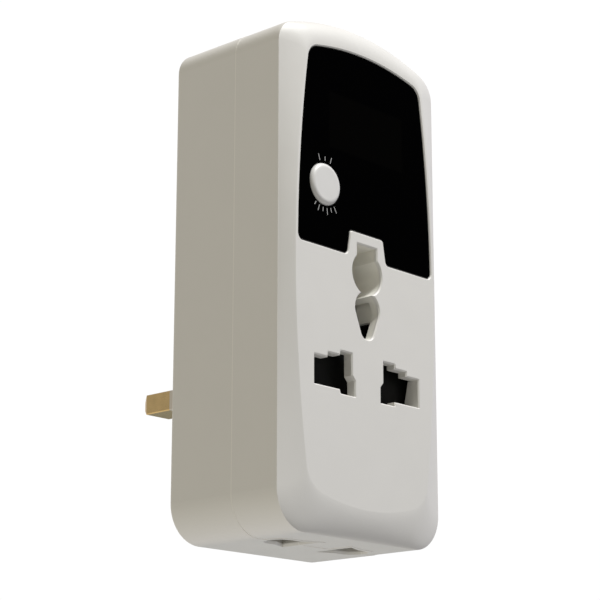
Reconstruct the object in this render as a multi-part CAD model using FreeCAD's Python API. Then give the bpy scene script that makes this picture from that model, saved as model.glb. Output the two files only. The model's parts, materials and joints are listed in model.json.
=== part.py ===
"""Plug-through socket monitor: rectangular-pin plug behind, universal socket, display and button in front.

Frame: the origin is on the mating (back) face, midway between the line and neutral pins. +X is to the
right of someone facing the socket, +Y runs into the wall along the pins and +Z is up. Millimetres.
Shapes are placed by x, by depth behind the flat front face, and by height above a datum 29.6 mm below the
line and neutral pins, which is close to the underside.
"""

import FreeCAD, Part
import math
import os

V = FreeCAD.Vector

# --- casing -------------------------------------------------------------------------------------------
BODY_WIDTH = 45.6
BODY_LOW = -0.2
BODY_HIGH = 100.8
BODY_DEPTH = 29.6
BODY_CORNER_LOW = 7.4
BODY_CORNER_HIGH = 5.0
TOP_ARCH_RADIUS = 58.0
RIM_DEPTH = 2.0              # where the crowned face meets the straight walls at the sides and below
TOP_RIM_DEPTH = 2.8          # and above
SEAM_DEPTH = 13.4
WALL = 2.0
BACK_WALL = 2.2
BACK_INNER = BODY_DEPTH - BACK_WALL
BACK_FILLET = 0.6
SEAM_STEP = 0.08             # by which the rear shell stands proud of the front one, above and below
LIP_HEIGHT = 1.2
LIP_THICKNESS = 1.0
LIP_GAP = 0.1
PAD_LOW = 52.0               # from here up the front wall is thickened to carry the lens
PAD_DEPTH = 3.0

# --- flat part of the front face, and the crown around it -----------------------------------------------
FLAT_HALF_WIDTH = 20.1
FLAT_SIDE_RADIUS = 273.0
FLAT_LOW = 5.3
FLAT_LOW_RADIUS = 48.0
FLAT_HIGH = 95.75
FLAT_HIGH_RADIUS = 62.7
FLAT_CORNER_LOW = 6.0
FLAT_CORNER_HIGH = 4.0
WIDEST_HEIGHT = 52.0
SIDE_CROWN = 1.05            # superellipse exponents: 1 is a plain bevel, 2 a quarter ellipse
LOW_CROWN = 1.5
TOP_CROWN = 1.8
CROWN_STEPS = [0, 0.03, 0.1, 0.22, 0.4, 0.62, 0.84, 1]
BROW_STEPS = [0, 0.35, 0.7, 1]      # between the two rims

# --- plug pins ------------------------------------------------------------------------------------------
PIN_HEIGHT = 29.6            # line and neutral pins above the datum
PIN_PITCH = 22.23
PIN_X = PIN_PITCH / 2
PIN_WIDTH = 6.35
PIN_THICKNESS = 3.97
PIN_LENGTH = 17.7
SLEEVE_LENGTH = 9.5
SHANK_WIDTH = 4.75
SHANK_THICKNESS = 2.4
EARTH_PIN_HEIGHT = PIN_HEIGHT + PIN_PITCH
EARTH_WIDTH = 3.95
EARTH_HEIGHT = 8.0
EARTH_LENGTH = 22.73
EARTH_SHANK_WIDTH = 2.4
EARTH_SHANK_HEIGHT = 6.0
SHANK_START = 19.0
FLANGE_THICKNESS = 1.8
FLANGE_REACH = 1.6
PIN_EDGE = 0.25
PIN_TIP = 1.6
PIN_TAPER = 0.7              # how much each face closes in, per length of the tip
PIN_FIT = 0.05

# --- socket apertures -----------------------------------------------------------------------------------
APERTURE_CHAMFER = 0.25
# Right-hand (line) aperture, corner by corner; the neutral one is its mirror image.
APERTURE = [(14.9, 27.1), (14.9, 32.6), (11.2, 32.6), (11.2, 33.55), (7.8, 33.55), (7.8, 34.4),
            (4.6, 34.4), (4.6, 30.2), (3.75, 29.3), (3.75, 26.3), (7.8, 26.3), (7.8, 27.1)]
EARTH_ROUND_HEIGHT = 50.8
EARTH_ROUND_RADIUS = 4.2
EARTH_SLOT_HALF = 2.8
EARTH_SLOT_TOP = 56.35
TUBE_WALL = 1.2
TUBE_DEPTH = 9.9
TEAR_HEIGHT = 43.8
TEAR_RADIUS = 3.4
TEAR_TIP_HEIGHT = 39.8
TEAR_TIP_RADIUS = 1.9
BARRIER_INNER = 3.75         # ribs on both sides of the teardrop, behind the front wall
BARRIER_OUTER = 4.75
BARRIER_LOW = 42.45
BARRIER_END = 6.2

# --- lens, display and button ---------------------------------------------------------------------------
LENS_INSET = 0.75            # from the edge of the flat
LENS_LOW = 53.6
LENS_HIGH = 95.0
LENS_SIDE_CORNER = 3.25
LENS_CORNER = 1.3
LENS_RECESS = 0.22
LENS_THICKNESS = 1.2
LENS_EDGE_CHAMFER = 0.2
LENS_EDGE_BREAK = 0.12
LENS_GAP = 0.08
TAPE_THICKNESS = 0.15
NOTCH_TOP = 58.5
NOTCH_TOP_HALF = 4.75
NOTCH_LOW_HALF = 5.6
NOTCH_CORNER = 0.6
NOTCH_FLARE = 1.1
TAPE_INSET = 0.4
TAPE_WIDTH = 1.6
WINDOW_LEFT = -11.2
WINDOW_RIGHT = 11.7
WINDOW_LOW = 74.4
WINDOW_HIGH = 84.4
DISPLAY_FACE = 3.25
BUTTON_X = -11.8
BUTTON_HEIGHT = 66.0
BUTTON_RADIUS = 4.15
BUTTON_PROUD = 0.35
BUTTON_EDGE = 1.0
BUTTON_TRAVEL = 0.5
BUTTON_GAP = 0.15
FLANGE_DEPTH = 3.1           # front of the ring that keeps the button in the casing
SWITCH_TOP = 6.9
PLUNGER_TOP = 5.9
PLUNGER_RADIUS = 1.7
PLUNGER_SINK = 1.6           # how far its foot reaches into the switch
STEM_GAP = 0.05              # between the button's stem and the plunger

# --- boards ---------------------------------------------------------------------------------------------
BOARD = 1.6
BOARD_GAP = 0.4              # left round the bosses and the walls
FRONT_BOARD = 10.4           # depth of each board's front face
REAR_BOARD = 24.2
BEHIND_FRONT_BOARD = FRONT_BOARD + BOARD
FRONT_BOARD_HALF = 18.2
FRONT_BOARD_LOW = 60.4
FRONT_BOARD_HIGH = 92.0
REAR_BOARD_LOW = 5.0
REAR_BOARD_HIGH = 96.0
WINDOW_MARGIN = 0.6          # left above and below the pin retainer
BOARD_RESTS = [(-18.3, 28.0), (-18.3, 54.0), (18.3, 28.0), (18.3, 54.0), (0, 8.0), (0, 92.0)]
BOARD_REST = 2.0
LEAD_RADIUS = 0.35
LEAD_BEND = 0.8
FUSE_RADIUS = 2.6
FUSE_GLASS_RADIUS = 2.45
FUSE_LENGTH = 20.0
FUSE_CAP = 5.0
FUSE_DEPTH = 20.4
FUSE_HEIGHT = 65.4

# --- underside pockets ----------------------------------------------------------------------------------
POCKET_INNER = 4.9
POCKET_NECK = 8.2            # from here to the round end the sides are parallel
POCKET_OUTER = 12.9
POCKET_INNER_HALF = 4.3
POCKET_HALF = 2.8
POCKET_DEPTH = 13.1          # of their centre line, behind the front face
POCKET_RECESS = 3.0
POCKET_FLOOR = 1.2
MOUTH_HEIGHT = 0.6           # flared mouth of each pocket
MOUTH_FLARE = 0.3

# --- screws ---------------------------------------------------------------------------------------------
CASE_SCREWS = [(x, height) for x in (-16.6, 16.6) for height in (6.9, 91.9)]
DISPLAY_SCREWS = [(15.6, 63.6), (-15.6, 79.0)]
RETAINER_SCREWS = [(-5.0, 39.0), (5.0, 39.0)]
SCREW_RADIUS = 1.3
SCREW_HEAD_RADIUS = 2.4
SCREW_HEAD = 1.6
SCREW_SEAT = 19.6
SCREW_LENGTH = 13.6
BOSS_RADIUS = 2.7
BOSS_END = 17.6
WELL_START = 17.8
WELL_RADIUS = 2.6
WELL_WALL = 1.0
SMALL_RADIUS = 1.0
SMALL_HEAD_RADIUS = 1.9
SMALL_HEAD = 1.2
SMALL_LENGTH = 5.6
POST_RADIUS = 2.2
SCREW_PLAY = 0.15
PILOT_PLAY = 0.02            # the screws' threads are left plain, so a pilot hole clears the shank
PILOT_SPARE = 1.0            # depth of a pilot hole beyond the screw's tip
SCREW_TIP = 0.35             # radius of the tip, as a share of the shank's
HEAD_ROUND = 0.45            # rounding of the head, as a share of its height
SLOT_DEPTH = 0.55            # depth of the cross recess, as a share of the head's height
SLOT_REACH = 0.55            # its reach and half width, as shares of the head's radius
SLOT_HALF = 0.13

# --- shutter and its spring -----------------------------------------------------------------------------
SHUTTER_DEPTH = 4.3
SHUTTER_THICKNESS = 1.4
SHUTTER_HALF_WIDTH = 15.5
SHUTTER_LOW = 25.2
SHUTTER_HIGH = 35.6
SPRING_LEDGE = 6.6
LEDGE_THICKNESS = 1.4
SPRING_TOP = 20.6
SPRING_DEPTH = 6.2
SPRING_RADIUS = 1.75
SPRING_WIRE = 0.22           # radius of the wire
SPRING_TURNS = 8
SPRING_END_PITCH = 0.56      # of the first and last turns, which lie nearly flat
SPRING_PEG = 1.6
SPRING_PEG_RADIUS = 1.2
STEM_HALF = 2.4

# --- contacts and what holds them -----------------------------------------------------------------------
CARRIER_FRONT = 6.4
CARRIER_BACK = 17.5
CARRIER_BASE = 2.0
CARRIER_HALF_WIDTH = 17.2
CARRIER_LOW = 23.4
CARRIER_HIGH = 59.6
LIVE_WELL = (5.4, 16.0, 25.0, 35.4)          # left, right, low and high
EARTH_WELL = (-5.8, 5.8, 44.9, 58.2)
RAIL_LOW = 15.0
RAIL_HIGH = 36.5
RAIL_ROOT = 1.6
SHUTTER_PLAY = 0.3
LEG = 3.0
LEGS = [(1.0, 25.0), (9.0, 53.5)]
LEAF = 0.8
LIVE_CLIP_FRONT = 7.4
LIVE_CLIP_HALF = 4.0
EARTH_CLIP_FRONT = 10.5
EARTH_CLIP_TALL = 6.4
CLIP_FLARE = 1.4
CLIP_THROAT = 2.2            # from a clip's front to where its leaves are closest
CLIP_SPREAD = 0.75           # how much further apart each leaf is at the web
CLIP_WEB = 14.7              # front of the web that joins a clip's two leaves
CONTACT_GRIP = 3.7           # gap between the leaves, a little under the pin it grips
TAIL_HALF = 2.0
TAIL_END = 21.4
TAIL_HEIGHT = PIN_HEIGHT + SHANK_THICKNESS / 2
LINE_TAIL = (13.9, 15.9)
RETAINER_FRONT = 22.8
RETAINER_BACK = BACK_INNER - FLANGE_THICKNESS
RETAINER_HALF = 16.6
RETAINER_LOW = 24.4
RETAINER_HIGH = 57.0
SPOT_REACH = 1.2             # how near a corner's edge lies to the place that names it


# === drawing helpers ====================================================================================

def at(x, depth, height):
    """Point at x, a depth behind the front face and a height above the datum."""
    return V(x, depth - BODY_DEPTH, height - PIN_HEIGHT)


def box(x0, x1, depth0, depth1, height0, height1):
    return Part.makeBox(x1 - x0, depth1 - depth0, height1 - height0, at(x0, depth0, height0))


def bar(x, height, depth0, depth1, width, tall, grow=0.0):
    """Rectangular bar that runs front to back, centred on (x, height)."""
    return box(x - width / 2 - grow, x + width / 2 + grow, depth0, depth1,
               height - tall / 2 - grow, height + tall / 2 + grow)


def rod(x, height, depth0, depth1, radius):
    """Round bar that runs front to back."""
    return Part.makeCylinder(radius, depth1 - depth0, at(x, depth0, height), V(0, 1, 0))


def crossbar(x0, x1, depth, height, radius):
    """Round bar that runs from left to right."""
    return Part.makeCylinder(radius, x1 - x0, at(x0, depth, height), V(1, 0, 0))


def closed(points):
    return Part.makePolygon(points + points[:1])


def outline_of(corners, depth):
    """Polygon through (x, height) corners at one depth."""
    return closed([at(x, depth, height) for x, height in corners])


def prism(wire, length):
    """Solid that a wire drawn at one depth sweeps out over a length towards the back."""
    return Part.Face(wire).extrude(V(0, length, 0))


def side_prism(corners, x0, x1):
    """Solid from an outline in (depth, height), extruded from x0 to x1."""
    wire = closed([at(x0, depth, height) for depth, height in corners])
    return Part.Face(wire).extrude(V(x1 - x0, 0, 0))


def front_rim(shape):
    """Round edges that bound the front end of a bar."""
    lowest = shape.BoundBox.YMin
    return [edge for edge in shape.Edges if edge.BoundBox.YMax - lowest < 1e-3]


def long_edges(shape):
    """Edges that run straight from front to back."""
    return [edge for edge in shape.Edges if edge.BoundBox.YLength > 0.9 * shape.BoundBox.YLength]


def mirrored(shape):
    return shape.mirror(V(0, 0, 0), V(1, 0, 0))


def both_sides(shape):
    return shape.fuse(mirrored(shape))


def group(shapes):
    """Fuse touching shapes into one clean solid."""
    whole = shapes[0]
    for shape in shapes[1:]:
        whole = whole.fuse(shape)
    return whole.removeSplitter()


def save(name, shape):
    shape.exportStep(f"parts/{name}.step")
    solids = shape.Solids
    volume = sum(solid.Volume for solid in solids)
    print(f"{name:24s} solids {len(solids):2d}  volume {volume:10.2f}  valid {shape.isValid()}")


# === outlines of the casing =============================================================================

def bulge(curvature, offset, along):
    """How far inside a bowed line's middle its inward parallel lies, at a distance along from the middle."""
    if curvature == 0:
        return offset
    radius = 1 / curvature
    return radius - math.sqrt((radius - offset) ** 2 - along ** 2)


def corner_circle(half_width, side_curvature, end, end_curvature, inward, radius):
    """Centre of a corner circle, and the points where it meets the side and the end of an outline."""
    height = end + inward * radius
    for _ in range(30):
        x = half_width - bulge(side_curvature, radius, height - WIDEST_HEIGHT)
        height = end + inward * bulge(end_curvature, radius, x)
    centre = V(x, 0, height)
    on_side = V(half_width, 0, height)
    if side_curvature:
        middle = V(half_width - 1 / side_curvature, 0, WIDEST_HEIGHT)
        on_side = middle + (centre - middle).normalize() / side_curvature
    on_end = V(x, 0, end)
    if end_curvature:
        middle = V(0, 0, end + inward / end_curvature)
        on_end = middle + (centre - middle).normalize() / end_curvature
    return centre, on_side, on_end


def bowed(start, middle, end, depth):
    """Edge through three points of an outline, or a straight one where they are in line."""
    start, middle, end = [at(point.x, depth, point.z) for point in (start, middle, end)]
    if (middle - start).cross(end - start).Length < 1e-6:
        return Part.LineSegment(start, end).toShape()
    return Part.Arc(start, middle, end).toShape()


def flip(point):
    return V(-point.x, 0, point.z)


def outline(depth, half_width, side_curvature, low, low_curvature, high, high_curvature, r_low, r_high):
    """Eight-edge outline, symmetrical about x = 0: two ends, two sides and four tangent corners."""
    corners = []
    ends = [(low, low_curvature, 1, r_low), (high, high_curvature, -1, r_high)]
    for end, curvature, inward, radius in ends:
        centre, on_side, on_end = corner_circle(half_width, side_curvature, end, curvature, inward, radius)
        halfway = centre + ((on_side - centre) + (on_end - centre)).normalize() * radius
        corners.append((on_side, halfway, on_end))
    (side_low, mid_low, end_low), (side_high, mid_high, end_high) = corners
    widest = V(half_width, 0, WIDEST_HEIGHT)
    return Part.Wire([
        bowed(flip(end_low), V(0, 0, low), end_low, depth),
        bowed(end_low, mid_low, side_low, depth),
        bowed(side_low, widest, side_high, depth),
        bowed(side_high, mid_high, end_high, depth),
        bowed(end_high, V(0, 0, high), flip(end_high), depth),
        bowed(flip(end_high), flip(mid_high), flip(side_high), depth),
        bowed(flip(side_high), flip(widest), flip(side_low), depth),
        bowed(flip(side_low), flip(mid_low), flip(end_low), depth)])


def body_outline(depth, inset=0.0, step=0.0):
    """Outline of the straight-walled body, or one inset from it, drawn in by a step at both ends."""
    return outline(depth, BODY_WIDTH / 2 - inset, 0, BODY_LOW + inset + step, 0, BODY_HIGH - inset - step,
                   1 / (TOP_ARCH_RADIUS - inset), BODY_CORNER_LOW - inset, BODY_CORNER_HIGH - inset)


def crown_outline(depth):
    """Outline of the crowned face at a depth between the flat and the rim."""
    def spread(rim_depth, exponent):
        return (1 - max(0, 1 - depth / rim_depth) ** exponent) ** (1 / exponent)

    def between(flat, rim, share):
        return flat + (rim - flat) * share

    side = spread(RIM_DEPTH, SIDE_CROWN)
    below = spread(RIM_DEPTH, LOW_CROWN)
    above = spread(TOP_RIM_DEPTH, TOP_CROWN)
    return outline(depth,
                   between(FLAT_HALF_WIDTH, BODY_WIDTH / 2, side),
                   between(1 / FLAT_SIDE_RADIUS, 0, side),
                   between(FLAT_LOW, BODY_LOW + SEAM_STEP, below),
                   between(1 / FLAT_LOW_RADIUS, 0, below),
                   between(FLAT_HIGH, BODY_HIGH - SEAM_STEP, above),
                   between(1 / FLAT_HIGH_RADIUS, 1 / TOP_ARCH_RADIUS, above),
                   between(FLAT_CORNER_LOW, BODY_CORNER_LOW, below),
                   between(FLAT_CORNER_HIGH, BODY_CORNER_HIGH, above))


def upright_edges(block, x, height):
    """Edges of a block that run front to back through (x, height) or its mirror image."""
    found = []
    for edge in long_edges(block):
        spot = edge.Vertexes[0].Point
        if abs(abs(spot.x) - x) < SPOT_REACH and abs(spot.z + PIN_HEIGHT - height) < SPOT_REACH:
            found.append(edge)
    return found


def lens_outline(depth):
    """Outline of the lens recess: the flat's edge brought inwards, cut off straight below and notched."""
    half_width = FLAT_HALF_WIDTH - LENS_INSET
    sheet = prism(outline(depth, half_width, 1 / (FLAT_SIDE_RADIUS - LENS_INSET), FLAT_LOW, 0, LENS_HIGH,
                          1 / (FLAT_HIGH_RADIUS - LENS_INSET), FLAT_CORNER_LOW, LENS_SIDE_CORNER), 1)
    away = BODY_WIDTH
    notch = [(-away, 0), (-away, LENS_LOW), (-NOTCH_LOW_HALF, LENS_LOW), (-NOTCH_TOP_HALF, NOTCH_TOP),
             (NOTCH_TOP_HALF, NOTCH_TOP), (NOTCH_LOW_HALF, LENS_LOW), (away, LENS_LOW), (away, 0)]
    sheet = sheet.cut(prism(outline_of(notch, depth), 1))
    for x, height, radius in ((half_width, LENS_LOW, LENS_CORNER), (NOTCH_TOP_HALF, NOTCH_TOP, NOTCH_CORNER),
                              (NOTCH_LOW_HALF, LENS_LOW, NOTCH_FLARE)):
        sheet = sheet.makeFillet(radius, upright_edges(sheet, x, height))
    front = min(sheet.Faces, key=lambda face: face.CenterOfMass.y)
    return front.OuterWire


def earth_outline(depth, grow=0.0):
    """Keyhole outline of the earth tube: a circle with a slot rising from it."""
    radius = EARTH_ROUND_RADIUS + grow
    half = EARTH_SLOT_HALF + grow
    top = EARTH_SLOT_TOP + grow
    shoulder = EARTH_ROUND_HEIGHT + math.sqrt(radius ** 2 - half ** 2)
    under = at(0, depth, EARTH_ROUND_HEIGHT - radius)
    corners = [at(half, depth, shoulder), at(half, depth, top),
               at(-half, depth, top), at(-half, depth, shoulder)]
    edges = [Part.Arc(corners[-1], under, corners[0])]
    edges += [Part.LineSegment(start, end) for start, end in zip(corners, corners[1:])]
    return Part.Wire([edge.toShape() for edge in edges])


def tear_outline(depth):
    """Teardrop below the earth tube: two circles and their common tangents."""
    lean = math.asin((TEAR_RADIUS - TEAR_TIP_RADIUS) / (TEAR_HEIGHT - TEAR_TIP_HEIGHT))

    def around(height, radius, angle):
        return at(radius * math.cos(angle), depth, height + radius * math.sin(angle))

    right_top = around(TEAR_HEIGHT, TEAR_RADIUS, -lean)
    left_top = around(TEAR_HEIGHT, TEAR_RADIUS, math.pi + lean)
    right_tip = around(TEAR_TIP_HEIGHT, TEAR_TIP_RADIUS, -lean)
    left_tip = around(TEAR_TIP_HEIGHT, TEAR_TIP_RADIUS, math.pi + lean)
    edges = [Part.Arc(right_top, around(TEAR_HEIGHT, TEAR_RADIUS, math.pi / 2), left_top),
             Part.LineSegment(left_top, left_tip),
             Part.Arc(left_tip, around(TEAR_TIP_HEIGHT, TEAR_TIP_RADIUS, -math.pi / 2), right_tip),
             Part.LineSegment(right_tip, right_top)]
    return Part.Wire([edge.toShape() for edge in edges])


def pocket_outline(grow, height):
    """Outline of one blind notch in the underside: wide at its inner end, with a round-ended tongue."""
    wide = POCKET_INNER_HALF + grow
    half = POCKET_HALF + grow
    inner = POCKET_INNER - grow
    tip = POCKET_OUTER + grow
    side = tip - half

    def spot(x, offset):
        return at(x, POCKET_DEPTH + offset, height)

    corners = [spot(side, -half), spot(POCKET_NECK, -half), spot(inner, -wide),
               spot(inner, wide), spot(POCKET_NECK, half), spot(side, half)]
    edges = [Part.LineSegment(start, end) for start, end in zip(corners, corners[1:])]
    edges.append(Part.Arc(corners[-1], spot(tip, 0), corners[0]))
    return Part.Wire([edge.toShape() for edge in edges])


def underside_pocket(grow, top):
    """Solid of one notch, from the underside up to a height above it."""
    return Part.Face(pocket_outline(grow, BODY_LOW)).extrude(V(0, 0, top))


# === casing =============================================================================================

def add_pockets(shell, depth0, depth1):
    """Sink the share of both underside pockets between two depths into a shell, with floors of their own."""
    slab = box(-BODY_WIDTH, BODY_WIDTH, depth0, depth1, BODY_LOW, BODY_CORNER_LOW)
    floors = both_sides(underside_pocket(POCKET_FLOOR, POCKET_RECESS + POCKET_FLOOR)).common(slab)
    mouth = Part.makeLoft([pocket_outline(MOUTH_FLARE, BODY_LOW), pocket_outline(0, BODY_LOW + MOUTH_HEIGHT)],
                          True, True)
    return shell.fuse(floors).cut(both_sides(underside_pocket(0, POCKET_RECESS))).cut(both_sides(mouth))


def cut_with_chamfer(shell, wire, length, chamfer):
    """Cut an aperture through the front face, its front edge eased outwards."""
    inner = wire.copy()
    inner.translate(V(0, chamfer, 0))
    mouth = Part.makeLoft([wire.makeOffset2D(chamfer), inner], True, True)
    return shell.cut(prism(wire, length)).cut(mouth)


def spring_peg(height):
    return Part.makeCylinder(SPRING_PEG_RADIUS, SPRING_PEG, at(0, SPRING_DEPTH, height))


def teardrop_barriers(root):
    """Rib on each side of the teardrop, rising into the earth tube."""
    return both_sides(box(BARRIER_INNER, BARRIER_OUTER, root, BARRIER_END, BARRIER_LOW, EARTH_ROUND_HEIGHT))


def aperture_guides(root):
    """Slant-ended ribs inside the outer walls of the line and neutral apertures."""
    width = 1.2
    shallow = 2.7
    deep = 4.0
    side = max(x for x, _ in APERTURE)
    low = min(height for _, height in APERTURE)
    high = max(height for x, height in APERTURE if x == side)
    rib = side_prism([(root, low), (root, high), (shallow, high), (deep, low)], side, side + width)
    return both_sides(rib)


def front_shell():
    crown = Part.makeLoft([crown_outline(RIM_DEPTH * share) for share in CROWN_STEPS], True, False)
    brow_depth = TOP_RIM_DEPTH - RIM_DEPTH
    brow = Part.makeLoft([crown_outline(RIM_DEPTH + brow_depth * share) for share in BROW_STEPS], True, False)
    walls = prism(body_outline(TOP_RIM_DEPTH, step=SEAM_STEP), SEAM_DEPTH - TOP_RIM_DEPTH)
    cavity = prism(body_outline(WALL, WALL), SEAM_DEPTH)
    pad = box(-BODY_WIDTH, BODY_WIDTH, 0, PAD_DEPTH, PAD_LOW, BODY_HIGH)
    shell = group([crown, brow, walls]).cut(cavity.cut(pad))

    root = WALL / 2
    ledge_half = 3.0
    ledge_depth = 8.4
    ledge = box(-ledge_half, ledge_half, root, ledge_depth, SPRING_LEDGE - LEDGE_THICKNESS, SPRING_LEDGE)
    tube = prism(earth_outline(root, TUBE_WALL), TUBE_DEPTH - root)
    additions = [tube, ledge, spring_peg(SPRING_LEDGE), aperture_guides(root), teardrop_barriers(root)]
    additions += [rod(x, height, root, BOSS_END, BOSS_RADIUS) for x, height in CASE_SCREWS]
    additions += [rod(x, height, root, FRONT_BOARD, POST_RADIUS) for x, height in DISPLAY_SCREWS]
    for addition in additions:
        shell = shell.fuse(addition)
    shell = add_pockets(shell, 0, SEAM_DEPTH)

    rebate = SEAM_DEPTH - LIP_HEIGHT - LIP_GAP
    rebate_ring = prism(body_outline(rebate, WALL - LIP_THICKNESS - LIP_GAP), LIP_HEIGHT + LIP_GAP)
    shell = shell.cut(rebate_ring.cut(prism(body_outline(rebate, WALL), LIP_HEIGHT + LIP_GAP)))
    lens_seat = LENS_RECESS + LENS_THICKNESS + TAPE_THICKNESS
    shell = cut_with_chamfer(shell, lens_outline(0), lens_seat, LENS_EDGE_CHAMFER)
    shell = shell.cut(box(WINDOW_LEFT, WINDOW_RIGHT, 0, PAD_DEPTH, WINDOW_LOW, WINDOW_HIGH))
    shell = shell.cut(rod(BUTTON_X, BUTTON_HEIGHT, 0, PAD_DEPTH, BUTTON_RADIUS + BUTTON_GAP))
    for side in (-1, 1):
        aperture = outline_of([(side * x, height) for x, height in APERTURE], 0)
        shell = cut_with_chamfer(shell, aperture, WALL, APERTURE_CHAMFER)
    shell = cut_with_chamfer(shell, tear_outline(0), TUBE_DEPTH, APERTURE_CHAMFER)
    shell = cut_with_chamfer(shell, earth_outline(0), TUBE_DEPTH, APERTURE_CHAMFER)
    for x, height in CASE_SCREWS:
        end = SCREW_SEAT - SCREW_LENGTH - PILOT_SPARE
        shell = shell.cut(rod(x, height, end, BOSS_END, SCREW_RADIUS + PILOT_PLAY))
    for x, height in DISPLAY_SCREWS:
        end = BEHIND_FRONT_BOARD - SMALL_LENGTH - PILOT_SPARE
        shell = shell.cut(rod(x, height, end, FRONT_BOARD, SMALL_RADIUS + PILOT_PLAY))
    return shell


def rear_shell():
    block = prism(body_outline(SEAM_DEPTH), BODY_DEPTH - SEAM_DEPTH)
    back_face = max(block.Faces, key=lambda face: face.CenterOfMass.y)
    block = block.makeFillet(BACK_FILLET, back_face.Edges)
    lip_start = SEAM_DEPTH - LIP_HEIGHT
    lip = prism(body_outline(lip_start, WALL - LIP_THICKNESS), LIP_HEIGHT)
    cavity = prism(body_outline(lip_start, WALL), BACK_INNER - lip_start)
    shell = block.fuse(lip).cut(cavity)

    root = BODY_DEPTH - BACK_WALL / 2
    for x, height in CASE_SCREWS:
        shell = shell.fuse(rod(x, height, WELL_START, root, WELL_RADIUS + WELL_WALL))
    for x, height in RETAINER_SCREWS:
        shell = shell.fuse(rod(x, height, RETAINER_BACK, root, POST_RADIUS))
    for x, height in BOARD_RESTS:
        shell = shell.fuse(bar(x, height, REAR_BOARD + BOARD, root, BOARD_REST, BOARD_REST))
    shell = add_pockets(shell, SEAM_DEPTH, BODY_DEPTH)

    for x, height in CASE_SCREWS:
        shell = shell.cut(rod(x, height, WELL_START, BODY_DEPTH, SCREW_RADIUS + SCREW_PLAY))
        shell = shell.cut(rod(x, height, SCREW_SEAT, BODY_DEPTH, WELL_RADIUS))
    for x, height in RETAINER_SCREWS:
        end = RETAINER_FRONT + SMALL_LENGTH + PILOT_PLAY
        shell = shell.cut(rod(x, height, RETAINER_BACK, end, SMALL_RADIUS + PILOT_PLAY))
    for x in (-PIN_X, PIN_X):
        shell = shell.cut(bar(x, PIN_HEIGHT, BACK_INNER, BODY_DEPTH, PIN_WIDTH, PIN_THICKNESS, PIN_FIT))
    return shell.cut(bar(0, EARTH_PIN_HEIGHT, BACK_INNER, BODY_DEPTH, EARTH_WIDTH, EARTH_HEIGHT, PIN_FIT))


def screw(x, height, seat, towards, length, radius, head_radius, head):
    """Pan-head cross-recess screw whose head bears on a seat; towards is -1 where its tip points forwards."""
    point = radius
    shank = Part.makeCylinder(radius, length - point, V(0, 0, 0), V(0, 1, 0))
    tip = Part.makeCone(radius, radius * SCREW_TIP, point, V(0, length - point, 0), V(0, 1, 0))
    dome = Part.makeCylinder(head_radius, head, V(0, -head, 0), V(0, 1, 0))
    dome = dome.makeFillet(head * HEAD_ROUND, front_rim(dome))
    body = group([shank, tip, dome])
    arm = head_radius * SLOT_REACH
    slot = head_radius * SLOT_HALF
    for wide, tall in ((arm, slot), (slot, arm)):
        body = body.cut(Part.makeBox(2 * wide, head * SLOT_DEPTH, 2 * tall, V(-wide, -head, -tall)))
    if towards < 0:
        body = body.mirror(V(0, 0, 0), V(0, 1, 0))
    body.translate(at(x, seat, height))
    return body


def case_screws():
    return Part.Compound([screw(x, height, SCREW_SEAT, -1, SCREW_LENGTH, SCREW_RADIUS, SCREW_HEAD_RADIUS,
                                SCREW_HEAD) for x, height in CASE_SCREWS])


def small_screws(places, seat, towards):
    return Part.Compound([screw(x, height, seat, towards, SMALL_LENGTH, SMALL_RADIUS, SMALL_HEAD_RADIUS,
                                SMALL_HEAD) for x, height in places])


# === lens, button and display ===========================================================================

def display_lens():
    lens = prism(lens_outline(LENS_RECESS).makeOffset2D(-LENS_GAP), LENS_THICKNESS)
    front = min(lens.Faces, key=lambda face: face.CenterOfMass.y)
    lens = lens.makeChamfer(LENS_EDGE_BREAK, front.OuterWire.Edges)
    return lens.cut(rod(BUTTON_X, BUTTON_HEIGHT, 0, PAD_DEPTH, BUTTON_RADIUS + BUTTON_GAP))


def lens_tape():
    """Adhesive ring that follows the lens's edge."""
    outer = lens_outline(LENS_RECESS + LENS_THICKNESS).makeOffset2D(-TAPE_INSET)
    ring = prism(outer, TAPE_THICKNESS).cut(prism(outer.makeOffset2D(-TAPE_WIDTH), TAPE_THICKNESS))
    return ring.cut(rod(BUTTON_X, BUTTON_HEIGHT, 0, PAD_DEPTH, BUTTON_RADIUS + TAPE_INSET))


def set_button():
    flange_radius = 5.2
    flange_end = FLANGE_DEPTH + 1.0
    stem_radius = 1.6
    stem_end = PLUNGER_TOP - STEM_GAP
    cap = rod(BUTTON_X, BUTTON_HEIGHT, -BUTTON_PROUD, flange_end, BUTTON_RADIUS)
    cap = cap.makeFillet(BUTTON_EDGE, front_rim(cap))
    return group([cap, rod(BUTTON_X, BUTTON_HEIGHT, FLANGE_DEPTH, flange_end, flange_radius),
                  rod(BUTTON_X, BUTTON_HEIGHT, flange_end, stem_end, stem_radius)])


def plunger(grow=0.0, extra=0.0):
    end = SWITCH_TOP + PLUNGER_SINK + extra
    return rod(BUTTON_X, BUTTON_HEIGHT, PLUNGER_TOP, end, PLUNGER_RADIUS + grow)


def switch_body():
    size = 6.0
    play = 0.1
    body = bar(BUTTON_X, BUTTON_HEIGHT, SWITCH_TOP, FRONT_BOARD, size, size)
    return body.cut(plunger(play, BUTTON_TRAVEL + play))


def led_display():
    margin_x = 0.8
    margin_low = 2.0
    margin_high = 2.2
    return box(WINDOW_LEFT - margin_x, WINDOW_RIGHT + margin_x, DISPLAY_FACE, FRONT_BOARD,
               WINDOW_LOW - margin_low, WINDOW_HIGH + margin_high)


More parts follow.
